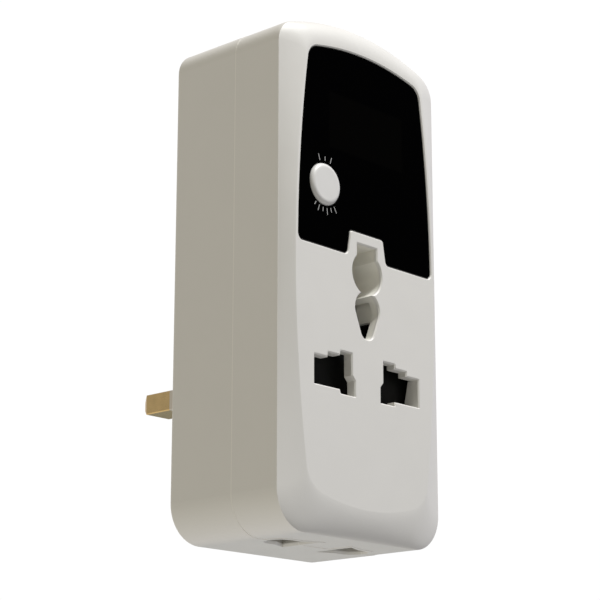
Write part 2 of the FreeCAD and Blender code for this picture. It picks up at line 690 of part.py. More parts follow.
def led_segments():
    """Three seven-segment digits, each segment a thin six-sided bar on the display's face."""
    thickness = 0.2
    half = 0.45
    gap = 0.12
    reach = 2.6
    rise = 4.1
    pitch = 7.5
    centre_x = (WINDOW_LEFT + WINDOW_RIGHT) / 2
    centre_h = (WINDOW_LOW + WINDOW_HIGH) / 2
    across = reach - half - gap
    up = rise / 2 - half / 2 - gap
    flat_bar = [(-across, 0), (half - across, half), (across - half, half),
                (across, 0), (across - half, -half), (half - across, -half)]
    tall_bar = [(0, -up), (half, half - up), (half, up - half),
                (0, up), (-half, up - half), (-half, half - up)]
    bars = []
    for digit in (-1, 0, 1):
        places = [(0, level * (rise - half), flat_bar) for level in (-1, 0, 1)]
        places += [(side * (reach - half), level * rise / 2, tall_bar)
                   for side in (-1, 1) for level in (-1, 1)]
        for x, height, shape in places:
            corners = [(centre_x + digit * pitch + x + dx, centre_h + height + dh) for dx, dh in shape]
            bars.append(prism(outline_of(corners, DISPLAY_FACE - thickness), thickness))
    return Part.Compound(bars)


# === boards and what is on them =========================================================================

def display_pcb():
    board = box(-FRONT_BOARD_HALF, FRONT_BOARD_HALF, FRONT_BOARD, BEHIND_FRONT_BOARD,
                FRONT_BOARD_LOW, FRONT_BOARD_HIGH)
    for x, height in CASE_SCREWS:
        board = board.cut(rod(x, height, FRONT_BOARD, BEHIND_FRONT_BOARD, BOSS_RADIUS + BOARD_GAP))
    for x, height in DISPLAY_SCREWS:
        board = board.cut(rod(x, height, FRONT_BOARD, BEHIND_FRONT_BOARD, SMALL_RADIUS + SCREW_PLAY))
    return board


def power_pcb():
    """Rear board, with a window for the pin retainer and notches round the screw wells."""
    end = REAR_BOARD + BOARD
    board = prism(body_outline(REAR_BOARD, WALL + BOARD_GAP), BOARD)
    board = board.common(box(-BODY_WIDTH, BODY_WIDTH, REAR_BOARD, end, REAR_BOARD_LOW, REAR_BOARD_HIGH))
    half = RETAINER_HALF + BOARD_GAP
    board = board.cut(box(-half, half, REAR_BOARD, end, RETAINER_LOW - WINDOW_MARGIN,
                          RETAINER_HIGH + WINDOW_MARGIN))
    for x, height in CASE_SCREWS:
        board = board.cut(rod(x, height, REAR_BOARD, end, WELL_RADIUS + WELL_WALL + BOARD_GAP))
    return board


def chip(x, height, width, tall, thickness, leads, face, towards):
    """Flat package with leads on its two long sides; towards is +1 where it lies behind its board."""
    standoff = 0.15
    lead_width = 0.45
    reach = 0.9

    def layer(near, far):
        return sorted((face + towards * near, face + towards * far))

    parts = [box(x - width / 2, x + width / 2, *layer(standoff, thickness),
                 height - tall / 2, height + tall / 2)]
    pitch = width / leads
    for number in range(leads):
        lead_x = x + pitch * (number + 0.5) - width / 2
        parts.append(box(lead_x - lead_width / 2, lead_x + lead_width / 2, *layer(0, thickness / 2),
                         height - tall / 2 - reach, height + tall / 2 + reach))
    return group(parts)


def relay():
    left, right, low, high = -15.0, 13.6, 10.4, 23.1
    tall = 15.2
    base = 1.8
    step = 0.3
    foot = box(left, right, REAR_BOARD - base, REAR_BOARD, low, high)
    lid = box(left + step, right - step, REAR_BOARD - tall, REAR_BOARD - base, low + step, high - step)
    return group([foot, lid.makeFillet(step * 2, front_rim(lid))])


def fuse():
    end = FUSE_LENGTH / 2
    glass = crossbar(-end, end, FUSE_DEPTH, FUSE_HEIGHT, FUSE_GLASS_RADIUS)
    caps = [crossbar(x, x + FUSE_CAP, FUSE_DEPTH, FUSE_HEIGHT, FUSE_RADIUS) for x in (-end, end - FUSE_CAP)]
    return group([glass] + caps)


def fuse_clips():
    """Two U-shaped clips that hold the fuse's caps off the rear board."""
    wall = 0.5
    width = 4.0
    lead_in = 1.0
    clips = []
    for x in (-FUSE_LENGTH / 2, FUSE_LENGTH / 2 - FUSE_CAP):
        x0 = x + (FUSE_CAP - width) / 2
        reach = FUSE_RADIUS + wall
        block = box(x0, x0 + width, FUSE_DEPTH - lead_in, REAR_BOARD,
                    FUSE_HEIGHT - reach, FUSE_HEIGHT + reach)
        block = block.cut(crossbar(x0, x0 + width, FUSE_DEPTH, FUSE_HEIGHT, FUSE_RADIUS))
        block = block.cut(box(x0, x0 + width, FUSE_DEPTH - lead_in, FUSE_DEPTH, FUSE_HEIGHT - FUSE_RADIUS,
                              FUSE_HEIGHT + FUSE_RADIUS))
        clips.append(block)
    return Part.Compound(clips)


def film_capacitor():
    left, right, low, high = -12.0, 6.0, 84.4, 92.0
    tall = 11.2
    edge = 0.6
    block = box(left, right, REAR_BOARD - tall, REAR_BOARD, low, high)
    return block.makeFillet(edge, long_edges(block))


def electrolytic_capacitor():
    """Aluminium can with a rounded top and a rolled groove near its foot."""
    x, height, radius, tall = 12.2, 80.4, 4.0, 11.3
    edge = 0.5
    groove_radius, groove_offset, groove_rise = 0.45, 0.18, 2.2
    can = rod(x, height, REAR_BOARD - tall, REAR_BOARD, radius)
    can = can.makeFillet(edge, front_rim(can))
    centre = at(x, REAR_BOARD - groove_rise, height)
    return can.cut(Part.makeTorus(radius + groove_offset, groove_radius, centre, V(0, 1, 0)))


def varistor():
    x, low, depth = -9.6, 76.2, 18.4
    radius, thickness = 5.0, 3.8
    lead_pitch = 5.0
    rounding = 1.3
    disc = Part.makeCylinder(radius, thickness, at(x, depth, low))
    disc = disc.makeFillet(rounding, [edge for edge in disc.Edges if edge.BoundBox.ZLength < 1e-3])
    leads = [rod(x + side * lead_pitch / 2, low + thickness / 2, depth, REAR_BOARD, LEAD_RADIUS)
             for side in (-1, 1)]
    return group([disc] + leads)


def resistors():
    """Three axial resistors in a row, each on a wire bent back to the rear board at both ends."""
    x0, length, radius, depth = 0.6, 6.3, 1.15, 22.4
    wire = 1.5
    rounding = 0.55
    left, right = x0 - wire, x0 + length + wire
    parts = []
    for height in (71.0, 74.0, 77.0):
        body = crossbar(x0, x0 + length, depth, height, radius)
        ends = [edge for edge in body.Edges if edge.BoundBox.XLength < 1e-3]
        body = body.makeFillet(rounding, ends)
        parts.append(group([body, staple(left, right, depth, REAR_BOARD, height)]))
    return Part.Compound(parts)


def staple(left, right, depth, foot, height):
    """Round wire that runs across at one depth and bends back to a foot at both ends."""
    def spot(x, y):
        return at(x, y, height)

    def bend(x, towards):
        slack = LEAD_BEND * (1 - math.sqrt(0.5))
        return Part.Arc(spot(x, depth + LEAD_BEND), spot(x + towards * slack, depth + slack),
                        spot(x + towards * LEAD_BEND, depth))

    edges = [Part.LineSegment(spot(left, foot), spot(left, depth + LEAD_BEND)),
             bend(left, 1),
             Part.LineSegment(spot(left + LEAD_BEND, depth), spot(right - LEAD_BEND, depth)),
             bend(right, -1),
             Part.LineSegment(spot(right, depth + LEAD_BEND), spot(right, foot))]
    path = Part.Wire([edge.toShape() for edge in edges])
    section = Part.Wire(Part.makeCircle(LEAD_RADIUS, spot(left, foot), V(0, 1, 0)))
    return path.makePipeShell([section], True, True)


def board_header():
    """Five-way pin header that joins the two boards."""
    ways, pitch, x0, height = 5, 2.54, 2.0, 69.4
    body_depth = 2.5
    pin_size = 0.64
    parts = [box(x0, x0 + ways * pitch, BEHIND_FRONT_BOARD, BEHIND_FRONT_BOARD + body_depth,
                 height - pitch / 2, height + pitch / 2)]
    for number in range(ways):
        x = x0 + pitch * (number + 0.5)
        parts.append(bar(x, height, BEHIND_FRONT_BOARD, REAR_BOARD, pin_size, pin_size))
    return group(parts)


# === plug pins ==========================================================================================

def pin(x, height, width, tall, shank_width, shank_tall, bare_from, length, tip):
    """Plug pin: tapered bare end, reduced shank behind it and a flange inside the back wall."""
    end = BODY_DEPTH + length
    blade = bar(x, height, bare_from, end, width, tall)
    blade = blade.makeFillet(PIN_EDGE, long_edges(blade))
    taper = []
    for depth, inset in ((end - tip, 0), (end, tip * PIN_TAPER)):
        half_width, half_tall = width / 2 - inset, tall / 2 - inset
        corners = [(-half_width, -half_tall), (half_width, -half_tall), (half_width, half_tall),
                   (-half_width, half_tall)]
        taper.append(outline_of([(x + dx, height + dh) for dx, dh in corners], depth))
    envelope = bar(x, height, bare_from, end - tip, width, tall).fuse(Part.makeLoft(taper, True, True))
    shank = bar(x, height, SHANK_START, bare_from, shank_width, shank_tall)
    flange = bar(x, height, RETAINER_BACK, BACK_INNER, width, tall, FLANGE_REACH)
    return group([shank, flange, blade.common(envelope)])


def live_pin(x):
    return pin(x, PIN_HEIGHT, PIN_WIDTH, PIN_THICKNESS, SHANK_WIDTH, SHANK_THICKNESS,
               BODY_DEPTH + SLEEVE_LENGTH, PIN_LENGTH, PIN_TIP)


def earth_pin():
    return pin(0, EARTH_PIN_HEIGHT, EARTH_WIDTH, EARTH_HEIGHT, EARTH_SHANK_WIDTH, EARTH_SHANK_HEIGHT,
               BACK_INNER, EARTH_LENGTH, PIN_TIP)


def pin_sleeve(x):
    end = BODY_DEPTH + SLEEVE_LENGTH
    sleeve = bar(x, PIN_HEIGHT, BACK_INNER, end, PIN_WIDTH, PIN_THICKNESS)
    sleeve = sleeve.makeFillet(PIN_EDGE, long_edges(sleeve))
    return sleeve.cut(bar(x, PIN_HEIGHT, BACK_INNER, end, SHANK_WIDTH, SHANK_THICKNESS))


def pin_retainer():
    """Plate that clamps the pins' flanges against the back wall."""
    front, back = RETAINER_FRONT, RETAINER_BACK
    plate = box(-RETAINER_HALF, RETAINER_HALF, front, back, RETAINER_LOW, RETAINER_HIGH)
    for x in (-PIN_X, PIN_X):
        plate = plate.cut(bar(x, PIN_HEIGHT, front, back, SHANK_WIDTH, SHANK_THICKNESS, PIN_FIT))
    plate = plate.cut(bar(0, EARTH_PIN_HEIGHT, front, back, EARTH_SHANK_WIDTH, EARTH_SHANK_HEIGHT, PIN_FIT))
    for x, height in RETAINER_SCREWS:
        plate = plate.cut(rod(x, height, front, back, SMALL_RADIUS + SCREW_PLAY))
    return plate


# === socket contacts and shutter ========================================================================

def clip_profile(front):
    """Spring clip in section: two flared leaves joined by a web, as (depth, offset from its middle)."""
    grip = CONTACT_GRIP / 2
    mouth = grip + CLIP_FLARE
    throat = front + CLIP_THROAT
    back = grip + CLIP_SPREAD
    inside = [(front, mouth), (throat, grip), (CLIP_WEB, back)]
    outside = [(front, mouth + LEAF), (throat, grip + LEAF), (CLIP_WEB + LEAF, back + LEAF)]
    lower_inside = [(depth, -offset) for depth, offset in reversed(inside)]
    lower_outside = [(depth, -offset) for depth, offset in outside]
    return inside + lower_inside + lower_outside + outside[::-1]


def live_clip(x):
    profile = [(depth, PIN_HEIGHT + offset) for depth, offset in clip_profile(LIVE_CLIP_FRONT)]
    return side_prism(profile, x - LIVE_CLIP_HALF, x + LIVE_CLIP_HALF)


def neutral_contact():
    tail = box(-PIN_X - TAIL_HALF, -PIN_X + TAIL_HALF, CLIP_WEB, TAIL_END, TAIL_HEIGHT, TAIL_HEIGHT + LEAF)
    return group([live_clip(-PIN_X), tail])


def line_contact():
    """Clip whose tail turns down behind the carrier and back to the rear board, clear of the line pin."""
    drop = CARRIER_BACK + BOARD_GAP / 2
    foot = 22.4
    top = TAIL_HEIGHT + LEAF
    path = [(CLIP_WEB, TAIL_HEIGHT), (CLIP_WEB, top), (drop + LEAF, top), (drop + LEAF, foot + LEAF),
            (REAR_BOARD, foot + LEAF), (REAR_BOARD, foot), (drop, foot), (drop, TAIL_HEIGHT)]
    return group([live_clip(PIN_X), side_prism(path, *LINE_TAIL)])


def earth_contact():
    low = EARTH_PIN_HEIGHT - EARTH_CLIP_TALL / 2
    wire = closed([at(offset, depth, low) for depth, offset in clip_profile(EARTH_CLIP_FRONT)])
    clip = Part.Face(wire).extrude(V(0, 0, EARTH_CLIP_TALL))
    return group([clip, earth_tail(CLIP_WEB, TAIL_END)])


def earth_tail(depth0, depth1):
    """Tail of the earth contact, which lies against the side of the earth pin's shank."""
    side = EARTH_SHANK_WIDTH / 2
    return box(side, side + LEAF, depth0, depth1, EARTH_PIN_HEIGHT - TAIL_HALF, EARTH_PIN_HEIGHT + TAIL_HALF)


def line_lead():
    """Strap from the line pin's shank to the side rail of the rear board."""
    x, width, front = 17.4, 1.5, 19.4
    across = box(PIN_X - TAIL_HALF, x + width, front, TAIL_END, TAIL_HEIGHT, TAIL_HEIGHT + LEAF)
    back = box(x, x + width, front, REAR_BOARD, TAIL_HEIGHT, TAIL_HEIGHT + LEAF)
    return group([across, back])


def contact_carrier():
    """Block with a well for each contact, rails beside the shutter and legs that stand on the retainer."""
    def well(left, right, low, high):
        return box(left, right, CARRIER_FRONT, floor, low, high)

    floor = CARRIER_BACK - CARRIER_BASE
    block = box(-CARRIER_HALF_WIDTH, CARRIER_HALF_WIDTH, CARRIER_FRONT, CARRIER_BACK,
                CARRIER_LOW, CARRIER_HIGH)
    rail = box(SHUTTER_HALF_WIDTH + SHUTTER_PLAY, CARRIER_HALF_WIDTH, SHUTTER_DEPTH + SHUTTER_PLAY,
               CARRIER_FRONT + RAIL_ROOT, RAIL_LOW, RAIL_HIGH)
    legs = [box(x, x + LEG, CARRIER_BACK, RETAINER_FRONT, height, height + LEG) for x, height in LEGS]
    carrier = group([block] + [both_sides(shape) for shape in [rail] + legs])
    carrier = carrier.cut(both_sides(well(*LIVE_WELL))).cut(well(*EARTH_WELL))
    top = TAIL_HEIGHT + LEAF
    carrier = carrier.cut(box(-PIN_X - TAIL_HALF, -PIN_X + TAIL_HALF, floor, CARRIER_BACK, TAIL_HEIGHT, top))
    carrier = carrier.cut(box(*LINE_TAIL, floor, CARRIER_BACK, TAIL_HEIGHT, top))
    return carrier.cut(earth_tail(floor, CARRIER_BACK))


def shutter():
    """Plate behind the line and neutral apertures, on a stem with a seat for the return spring."""
    back = SHUTTER_DEPTH + SHUTTER_THICKNESS
    seat_end = 8.2
    seat_thickness = 1.2
    plate = box(-SHUTTER_HALF_WIDTH, SHUTTER_HALF_WIDTH, SHUTTER_DEPTH, back, SHUTTER_LOW, SHUTTER_HIGH)
    stem = box(-STEM_HALF, STEM_HALF, SHUTTER_DEPTH, back, SPRING_TOP, SHUTTER_LOW)
    seat = box(-STEM_HALF, STEM_HALF, SHUTTER_DEPTH, seat_end, SPRING_TOP, SPRING_TOP + seat_thickness)
    return group([plate, stem, seat, spring_peg(SPRING_TOP - SPRING_PEG)])


def shutter_spring():
    """Round-wire compression spring between the casing's ledge and the shutter's seat."""
    start = SPRING_LEDGE + SPRING_WIRE
    length = SPRING_TOP - SPRING_WIRE - start
    pitch = (length - 2 * SPRING_END_PITCH) / (SPRING_TURNS - 2)
    steps_per_turn = 16

    def wire_centre(step):
        turn = step / steps_per_turn
        rise = SPRING_END_PITCH * (min(turn, 1) + max(turn - SPRING_TURNS + 1, 0))
        rise += pitch * min(max(turn - 1, 0), SPRING_TURNS - 2)
        angle = 2 * math.pi * turn
        return at(SPRING_RADIUS * math.cos(angle), SPRING_DEPTH + SPRING_RADIUS * math.sin(angle),
                  start + rise)

    path = Part.BSplineCurve()
    path.interpolate([wire_centre(step) for step in range(SPRING_TURNS * steps_per_turn + 1)])
    section = Part.Wire(Part.makeCircle(SPRING_WIRE, wire_centre(0), path.tangent(path.FirstParameter)[0]))
    return Part.Wire([path.toShape()]).makePipeShell([section], True, True)


# === all the pieces =====================================================================================

PIECES = {
    "front_shell": front_shell,
    "rear_shell": rear_shell,
    "case_screws": case_screws,
    "display_lens": display_lens,
    "lens_tape": lens_tape,
    "set_button": set_button,
    "switch_body": switch_body,
    "switch_plunger": plunger,
    "led_display": led_display,
    "led_segments": led_segments,
    "display_pcb": display_pcb,
    "display_screws": lambda: small_screws(DISPLAY_SCREWS, BEHIND_FRONT_BOARD, -1),
    "microcontroller": lambda: chip(x=-6.5, height=66.0, width=9.9, tall=3.9, thickness=1.75, leads=8,
                                    face=BEHIND_FRONT_BOARD, towards=1),
    "board_header": board_header,
    "power_pcb": power_pcb,
    "relay": relay,
    "fuse": fuse,
    "fuse_clips": fuse_clips,
    "film_capacitor": film_capacitor,
    "electrolytic_capacitor": electrolytic_capacitor,
    "varistor": varistor,
    "rectifier": lambda: chip(x=-6.0, height=71.6, width=4.7, tall=3.9, thickness=2.4, leads=2,
                              face=REAR_BOARD, towards=-1),
    "resistors": resistors,
    "shutter": shutter,
    "shutter_spring": shutter_spring,
    "contact_carrier": contact_carrier,
    "line_contact": line_contact,
    "neutral_contact": neutral_contact,
    "earth_contact": earth_contact,
    "line_lead": line_lead,
    "line_pin": lambda: live_pin(PIN_X),
    "neutral_pin": lambda: live_pin(-PIN_X),
    "earth_pin": earth_pin,
    "line_pin_sleeve": lambda: pin_sleeve(PIN_X),
    "neutral_pin_sleeve": lambda: pin_sleeve(-PIN_X),
    "pin_retainer": pin_retainer,
    "retainer_screws": lambda: small_screws(RETAINER_SCREWS, RETAINER_FRONT, 1),
}

os.makedirs("parts", exist_ok=True)
for name, make in PIECES.items():
    save(name, make())
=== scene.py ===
"""Looks for the plug-through socket monitor: finishes, printed marks, lights and camera round its CAD frame.

Metres, in the CAD's frame: +X to the right of someone facing the socket, +Y into the wall, +Z up.
"""

import json
import math

import bmesh
import bpy
from mathutils import Matrix, Vector


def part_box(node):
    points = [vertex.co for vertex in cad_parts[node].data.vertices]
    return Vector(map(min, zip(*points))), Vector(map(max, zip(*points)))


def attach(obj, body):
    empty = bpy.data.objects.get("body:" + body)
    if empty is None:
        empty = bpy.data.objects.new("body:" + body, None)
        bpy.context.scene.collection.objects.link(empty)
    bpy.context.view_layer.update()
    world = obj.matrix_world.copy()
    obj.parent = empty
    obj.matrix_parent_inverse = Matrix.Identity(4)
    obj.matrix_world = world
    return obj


MM = 0.001

# --- camera ---------------------------------------------------------------------------------------------
VIEW_AZIMUTH = -47.24
VIEW_ELEVATION = -15.09
VIEW_ROLL = 0.08
VIEW_DISTANCE = 0.3748
VIEW_LENS = 114.85
CLIP_START = 0.01
CLIP_END = 50
AIM_OFFSET = Vector((-0.0010, 0.0018, -0.0018))    # from the middle of the casing

# --- stage ----------------------------------------------------------------------------------------------
FLOOR_DROP = 0.10             # of the floor below the underside, so that it stays under the camera
FLOOR_SIZE = 12.0
FLOOR_TONE = (0.86, 0.86, 0.85)
FLOOR_GLOW = 0.45             # evens the floor out where the key light doesn't reach
KEY_AZIMUTH = 20
KEY_ELEVATION = 60
KEY_DISTANCE = 1.2
KEY_SIZE = 0.35
KEY_WATTS = 16.7
AMBIENT = (0.462, 0.447, 0.435)
AMBIENT_SLOPES = ((0.0, 0.008, 0.067), (0.279, 0.262, 0.241), (-0.240, -0.240, -0.234))    # along X, Y and Z
BACKDROP = (1.02, 1.02, 1.02)
CARD_DISTANCE = 0.5           # of each card from the middle of the casing

# Cards that the front, the underside and the left side mirror: name, azimuth, elevation, size, tone.
CARDS = (
    ("black_card", -VIEW_AZIMUTH, -VIEW_ELEVATION, 0.34, (0.001, 0.001, 0.001)),
    ("grey_card", 180 + VIEW_AZIMUTH, VIEW_ELEVATION, 0.30, (0.27, 0.33, 0.36)),
    ("side_card", -180 - VIEW_AZIMUTH, -VIEW_ELEVATION, 0.30, (0.52, 0.52, 0.52)),
)

# --- finishes -------------------------------------------------------------------------------------------
NOISE_LOW = 0.3               # most of a noise's values lie between these two
NOISE_HIGH = 0.7
WHITE_TONE = (0.80, 0.785, 0.745)
# painted highlight along the seam between the shells
SEAM_HIGHLIGHT_TONE = (0.90, 0.88, 0.83)
# painted light on the walls of the earth tube and the teardrop
TUBE_LIGHT_TONE = (0.94, 0.925, 0.85)
# painted shade inside the underside's blind notches
NOTCH_SHADE_TONE = (0.50, 0.485, 0.45)
BUTTON_TONE = (0.80, 0.79, 0.765)
INK_TONE = (0.42, 0.42, 0.41)
BLACK_TONE = (0.01, 0.01, 0.0095)
PIN_SLEEVE_TONE = (0.66, 0.61, 0.54)
BRASS_TONE = (0.74, 0.53, 0.24)
ZINC_TONE = (0.62, 0.63, 0.64)
SPRING_TONE = (0.56, 0.56, 0.57)
LENS_TONE = (0.0008, 0.0008, 0.0009)
WINDOW_TONE = (0.0016, 0.0015, 0.0014)
MASK_TONE = (0.012, 0.115, 0.045)
TRACK_TONE = (0.03, 0.22, 0.08)
PAD_TONE = (0.62, 0.60, 0.56)
HEADER_TONE = (0.02, 0.02, 0.021)
GILT_TONE = (0.80, 0.60, 0.27)
RELAY_TONE = (0.015, 0.03, 0.075)
CAP_TONE = (0.66, 0.66, 0.64)
GLASS_TONE = (0.82, 0.86, 0.85)
FILM_TONE = (0.66, 0.44, 0.05)
CAN_TONE = (0.72, 0.72, 0.73)
CAN_SLEEVE_TONE = (0.012, 0.016, 0.035)
STRIPE_TONE = (0.55, 0.56, 0.58)
DIP_TONE = (0.02, 0.09, 0.30)
LACQUER_TONE = (0.55, 0.40, 0.24)
TIN_TONE = (0.70, 0.70, 0.70)
EPOXY_TONE = (0.02, 0.02, 0.022)
SEGMENT_TONE = (0.45, 0.44, 0.42)
TAPE_TONE = (0.03, 0.03, 0.03)

# Colour bands on a resistor: place along its body, as a share of the body's length, and tone.
BANDS = (
    (0.2, (0.25, 0.05, 0.02)),
    (0.38, (0.01, 0.01, 0.01)),
    (0.54, (0.55, 0.09, 0.02)),
    (0.82, (0.55, 0.38, 0.08)),
)

# --- places on the casing where painted light and shade change its tone ---------------------------------
TONE_EDGE = 0.15 * MM         # half of the width over which a tone gives way to the next
SHELL_LIP = 1.2 * MM          # of the rear shell, which reaches this far into the front one
# width and edge softness of the painted highlight along the seam
SEAM_LINE = 0.2 * MM
SEAM_EDGE = 0.04 * MM
NOTCH_LIP = 0.5 * MM          # of the underside's blind notches, which are painted darker above it as painted shade
NOTCH_TOP = 3.2 * MM
NOTCH_REACH = 13.2 * MM       # from the middle of the casing, sideways
NOTCH_HALF = 4.6 * MM         # front to back
TUBE_HALF = 4.6 * MM          # earth tube and the teardrop below it, whose walls are painted lighter as painted light
TUBE_LOW = 8.0 * MM
TUBE_HIGH = 27.0 * MM
TUBE_START = 0.6 * MM         # behind the front of the casing

# --- printed marks beside the button --------------------------------------------------------------------
BUTTON_RING = 1.05 * MM       # the button's ring behind the lens is this much wider all round than its cap
MARK_THICKNESS = 0.02 * MM
MARK_WIDTH = 0.17 * MM
MARK_GAP = 0.5 * MM           # from the button's edge to the marks
MARK_LENGTHS = (0.85 * MM, 1.3 * MM)
MARK_ROWS = ((90, 3, 18), (-90, 6, 13))    # angle of the row's middle, number of marks, angle between them

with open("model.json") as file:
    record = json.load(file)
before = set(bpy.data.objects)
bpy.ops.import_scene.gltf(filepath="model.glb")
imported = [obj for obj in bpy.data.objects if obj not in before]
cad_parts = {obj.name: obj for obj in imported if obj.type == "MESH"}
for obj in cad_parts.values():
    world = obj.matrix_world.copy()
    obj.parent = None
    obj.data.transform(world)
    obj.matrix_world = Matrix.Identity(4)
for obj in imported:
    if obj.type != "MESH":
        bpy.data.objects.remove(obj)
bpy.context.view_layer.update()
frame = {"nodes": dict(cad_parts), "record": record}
nodes = frame["nodes"]


# === geometry helpers ===================================================================================

def casing_box():
    """Lowest and highest corners of the two shells together."""
    lows, highs = zip(*(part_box(node) for node in ("front_shell", "rear_shell")))
    low = Vector(min(values) for values in zip(*lows))
    high = Vector(max(values) for values in zip(*highs))
    return low, high


def direction(azimuth, elevation):
    """Unit vector from the object towards an azimuth and elevation in degrees."""
    a, e = math.radians(azimuth), math.radians(elevation)
    return Vector((math.sin(a) * math.cos(e), -math.cos(a) * math.cos(e), math.sin(e)))


def place(obj, target, azimuth, elevation, distance, roll=0.0):
    """Put an object in the scene on one side of a target, with its -Z axis towards it."""
    back = direction(azimuth, elevation)
    turn = (-back).to_track_quat("-Z", "Y")
    obj.location = target + back * distance
    obj.rotation_mode = "QUATERNION"
    obj.rotation_quaternion = turn @ Matrix.Rotation(math.radians(roll), 3, "Z").to_quaternion()
    bpy.context.scene.collection.objects.link(obj)


def square(name, size):
    """Flat square that faces +Z, not yet in the scene."""
    mesh = bpy.data.meshes.new(name)
    work = bmesh.new()
    bmesh.ops.create_grid(work, x_segments=1, y_segments=1, size=size / 2)
    work.to_mesh(mesh)
    work.free()
    return bpy.data.objects.new(name, mesh)


# === camera, lights and stage ===========================================================================

def make_camera(middle):
    data = bpy.data.cameras.new("camera")
    data.lens = VIEW_LENS
    data.clip_start = CLIP_START
    data.clip_end = CLIP_END
    camera = bpy.data.objects.new("camera", data)
    place(camera, middle + AIM_OFFSET, VIEW_AZIMUTH, VIEW_ELEVATION, VIEW_DISTANCE, VIEW_ROLL)
    bpy.context.scene.camera = camera


def make_key(middle):
    """Square softbox above and in front of the object."""
    data = bpy.data.lights.new("key", "AREA")
    data.shape = "SQUARE"
    data.size = KEY_SIZE
    data.energy = KEY_WATTS
    light = bpy.data.objects.new("key", data)
    place(light, middle, KEY_AZIMUTH, KEY_ELEVATION, KEY_DISTANCE)
    light.visible_camera = False


def make_card(middle, name, azimuth, elevation, size, tone):
    """Matt square card that faces the object and shows only in its reflections."""
    card = square(name, size)
    place(card, middle, azimuth, elevation, CARD_DISTANCE)
    card.visible_camera = False
    card.visible_diffuse = False
    card.visible_shadow = False
    cloth = plastic(name + "_cloth", tone, spread=0.1, patch=20 * MM, roughness=(0.95, 1.0),
                    grain=2 * MM, relief=0.1 * MM, specular=0.0)
    card.data.materials.append(cloth)


def make_world():
    """Ambient light, stronger from behind and below, in front of a plain white backdrop."""
    world = bpy.data.worlds.new("studio")
    world.use_nodes = True
    tree = world.node_tree
    tree.nodes.clear()
    place_in_sky = tree.nodes.new("ShaderNodeTexCoord")
    axes = tree.nodes.new("ShaderNodeSeparateXYZ")
    tree.links.new(place_in_sky.outputs["Generated"], axes.inputs[0])
    level = None
    for axis, slope in zip("XYZ", AMBIENT_SLOPES):
        term = tree.nodes.new("ShaderNodeVectorMath")
        term.operation = "MULTIPLY_ADD"
        tree.links.new(axes.outputs[axis], term.inputs[0])
        term.inputs[1].default_value = slope
        term.inputs[2].default_value = AMBIENT
        if level:
            tree.links.new(level, term.inputs[2])
        level = term.outputs[0]
    ambient = tree.nodes.new("ShaderNodeBackground")
    tree.links.new(level, ambient.inputs["Color"])
    backdrop = tree.nodes.new("ShaderNodeBackground")
    backdrop.inputs["Color"].default_value = (*BACKDROP, 1)
    rays = tree.nodes.new("ShaderNodeLightPath")
    mix = tree.nodes.new("ShaderNodeMixShader")
    out = tree.nodes.new("ShaderNodeOutputWorld")
    tree.links.new(rays.outputs["Is Camera Ray"], mix.inputs["Fac"])
    tree.links.new(ambient.outputs[0], mix.inputs[1])
    tree.links.new(backdrop.outputs[0], mix.inputs[2])
    tree.links.new(mix.outputs[0], out.inputs["Surface"])
    bpy.context.scene.world = world


def make_floor(level):
    """Plain pale floor that the object neither mirrors nor is lit by."""
    floor = square("floor", FLOOR_SIZE)
    floor.location.z = level
    floor.visible_diffuse = False
    floor.visible_glossy = False
    floor.visible_shadow = False
    bpy.context.scene.collection.objects.link(floor)
    paint = plastic("floor_paint", FLOOR_TONE, spread=0.01, patch=200 * MM, roughness=(0.7, 0.8),
                    grain=3 * MM, relief=0.1 * MM)
    surface = paint.node_tree.nodes["Principled BSDF"]
    surface.inputs["Emission Color"].default_value = (1, 1, 1, 1)
    surface.inputs["Emission Strength"].default_value = FLOOR_GLOW
    floor.data.materials.append(paint)


# === finishes ===========================================================================================

